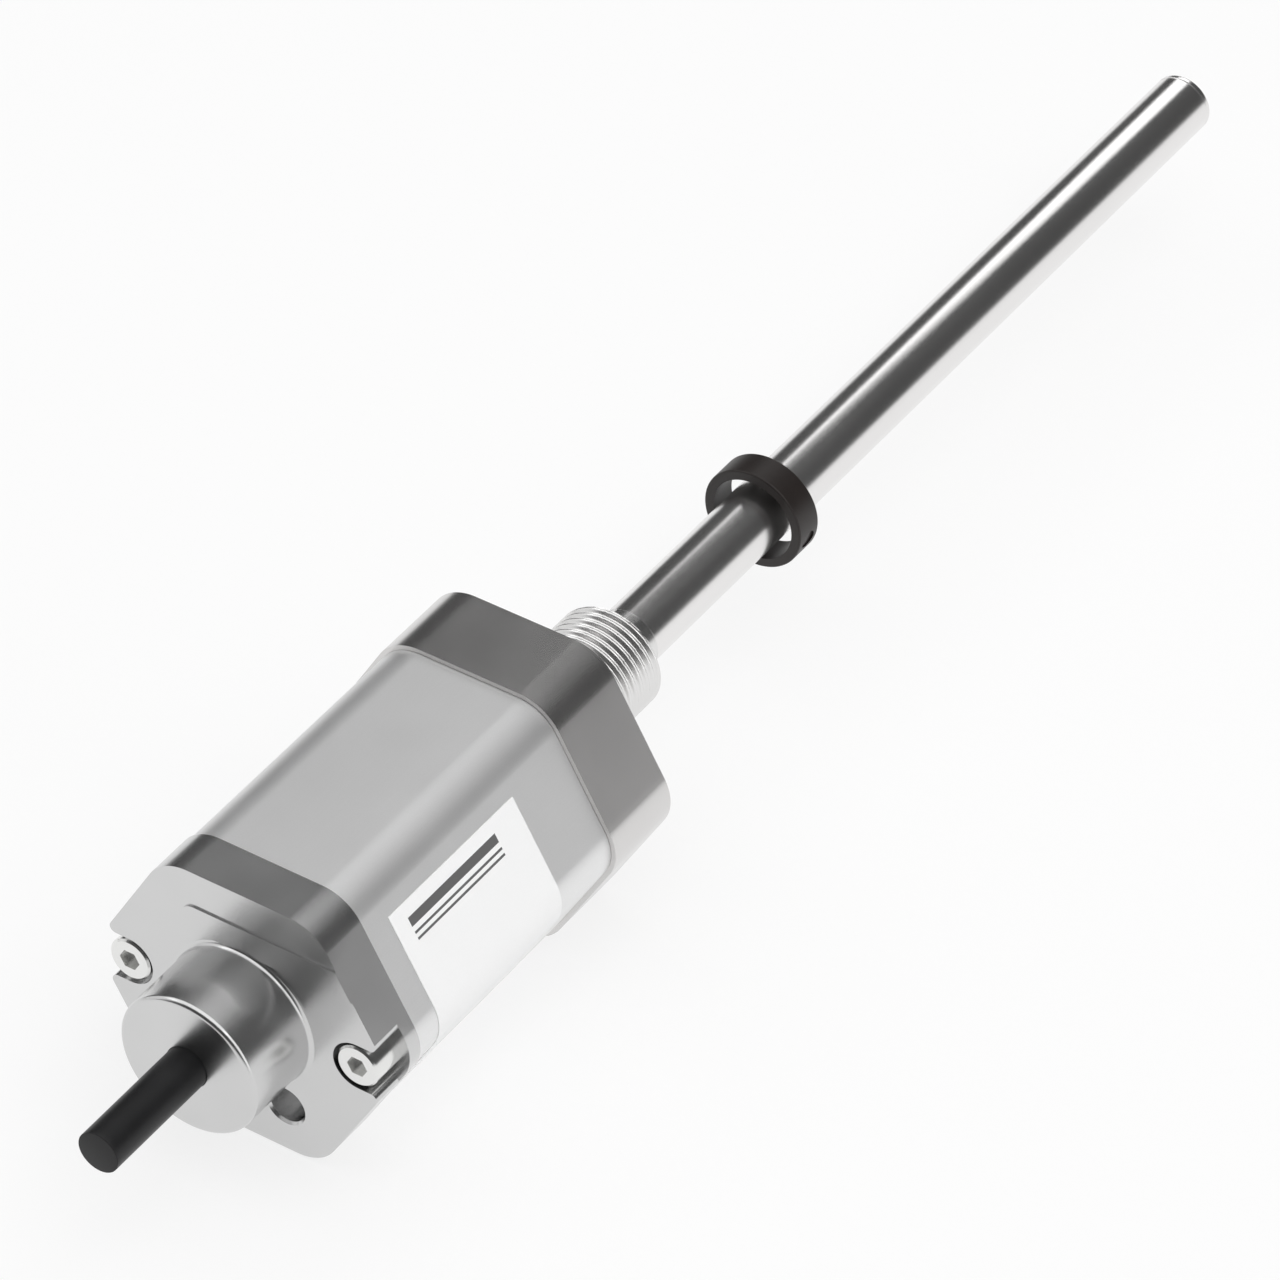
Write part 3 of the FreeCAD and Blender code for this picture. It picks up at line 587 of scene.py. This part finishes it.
# Ring magnet. Bonded ferrite, black-brown and nearly matte, with its mark of polarity as a small dimple in
# the rim. It rides along the rod on the piston and never touches it.
ferrite = Finish("bonded ferrite", specular_ior_level=0.45)
ferrite_grain = ferrite.noise(0.18 * MM, detail=4.0)
ferrite_cloud = ferrite.noise(3 * MM, detail=3.0)
ferrite_tone = ferrite.tint(ferrite_cloud * 0.6 + ferrite_grain * 0.4, (0.009, 0.0062, 0.0055, 1),
                            (0.02, 0.0145, 0.0128, 1))
magnet_ferrite = ferrite.show(ferrite_tone, 0.36 + 0.12 * ferrite_grain, ferrite_grain, 4e-6)
magnet = joined_copy("position_magnet", "ring_magnet")
settle(magnet, magnet_ferrite, "magnet_ferrite", "position_magnet", body="magnet")


# Studio. A plain pale floor under the flange's lower flat, walls that are a little brighter at the
# horizon, soft panels above and to the sides, and a small one low behind the rod that draws its bright
# strip. A fill lights what is painted or printed, without a glint of its own in the metals.
FLOOR_HALF = 4.0
FLOOR_WHITE = 0.76
WALLS = [(height, (shade,) * 3) for height, shade in
         ((0.0, 0.23), (0.04, 0.16), (0.09, 0.078), (0.2, 0.07), (0.8, 0.07), (1.0, 0.2))]
PANELS = (
    ("overhead", (-0.025, 0.3, 1.3), (-0.025, 0.3, 0), (1.65, 2.8), 1.1),
    ("near_side", (-0.12, -1.25, 0.62), (0, 0, 0), (1.05, 1.5), 1.2),
    ("far_side", (-0.4, 1.15, 0.55), (0, 0, 0), (1.1, 1.1), 0.8),
    ("strip", (0.65, 0.19, 0.378), (0.15, 0, 0), (0.30, 0.30), 1.5),
)
FILL = ("fill", (-0.1, -0.6, 1.2), (0, 0, 0), (1.2, 1.2), 1.15)
CAMERA_LENS = 218.26
CAMERA_SENSOR = 36
CAMERA_PLACE = (-0.70401, -0.48701, 0.74561)
CAMERA_TURN = (49.658, -0.113, -56.330)
floor_z = cad_box[0].z
floor_mesh = bpy.data.meshes.new("floor")
floor_corners = [(x * FLOOR_HALF, y * FLOOR_HALF, floor_z) for x, y in ((-1, -1), (1, -1), (1, 1), (-1, 1))]
floor_mesh.from_pydata(floor_corners, [], [(0, 1, 2, 3)])
floor = bpy.data.objects.new("floor", floor_mesh)
bpy.context.scene.collection.objects.link(floor)
floor_finish = Finish("pale floor", roughness=0.9)
floor_tone = floor_finish.tint(floor_finish.noise(0.3), (0.93, 0.93, 0.93, 1), (0.95, 0.95, 0.95, 1))
floor_mesh.materials.append(floor_finish.show(floor_tone))
path = [floor_finish.node("ShaderNodeLightPath", output=f"Is {ray} Ray")
        for ray in ("Camera", "Glossy", "Transmission")]
plain_white = floor_finish.node("ShaderNodeEmission", None, {"Color": (1, 1, 1, 1), "Strength": 1.0})
seen = (path[0] + path[1] + path[2]) * FLOOR_WHITE
lit = Value(floor_finish, floor_finish.surface.outputs["BSDF"])
floor_look = floor_finish.node("ShaderNodeMixShader", None, {0: seen, 1: lit, 2: plain_white})
floor_finish.feed(floor_finish.tree.nodes["Material Output"].inputs["Surface"], floor_look)

world = bpy.data.worlds.new("studio")
bpy.context.scene.world = world
world.use_nodes = True
sky = Shader(world.node_tree)
_, _, height = sky.parts(sky.node("ShaderNodeTexCoord", output="Generated"))
shade = sky.node("ShaderNodeValToRGB", {"stops": WALLS}, {0: height})
sky.feed(world.node_tree.nodes["Background"].inputs["Color"], shade)


def panel(name, place, aim, size, glow):
    """Soft box of a size in metres whose face has a brightness of glow, where 1 renders white."""
    lamp = bpy.data.lights.new(name, "AREA")
    lamp.shape = "RECTANGLE"
    lamp.size, lamp.size_y = size
    lamp.energy = glow * math.pi * size[0] * size[1]
    stand = bpy.data.objects.new(name, lamp)
    stand.location = place
    stand.rotation_euler = (Vector(aim) - Vector(place)).to_track_quat("-Z", "Y").to_euler()
    stand.visible_camera = False
    bpy.context.scene.collection.objects.link(stand)
    return stand


for lamp_values in PANELS:
    panel(*lamp_values)
panel(*FILL).visible_glossy = False

camera_data = bpy.data.cameras.new("camera")
camera_data.sensor_width = CAMERA_SENSOR
camera_data.lens = CAMERA_LENS
camera = bpy.data.objects.new("camera", camera_data)
camera.location = CAMERA_PLACE
camera.rotation_euler = [math.radians(turn) for turn in CAMERA_TURN]
bpy.context.scene.collection.objects.link(camera)
bpy.context.scene.camera = camera
bpy.context.scene.view_settings.view_transform = "Standard"
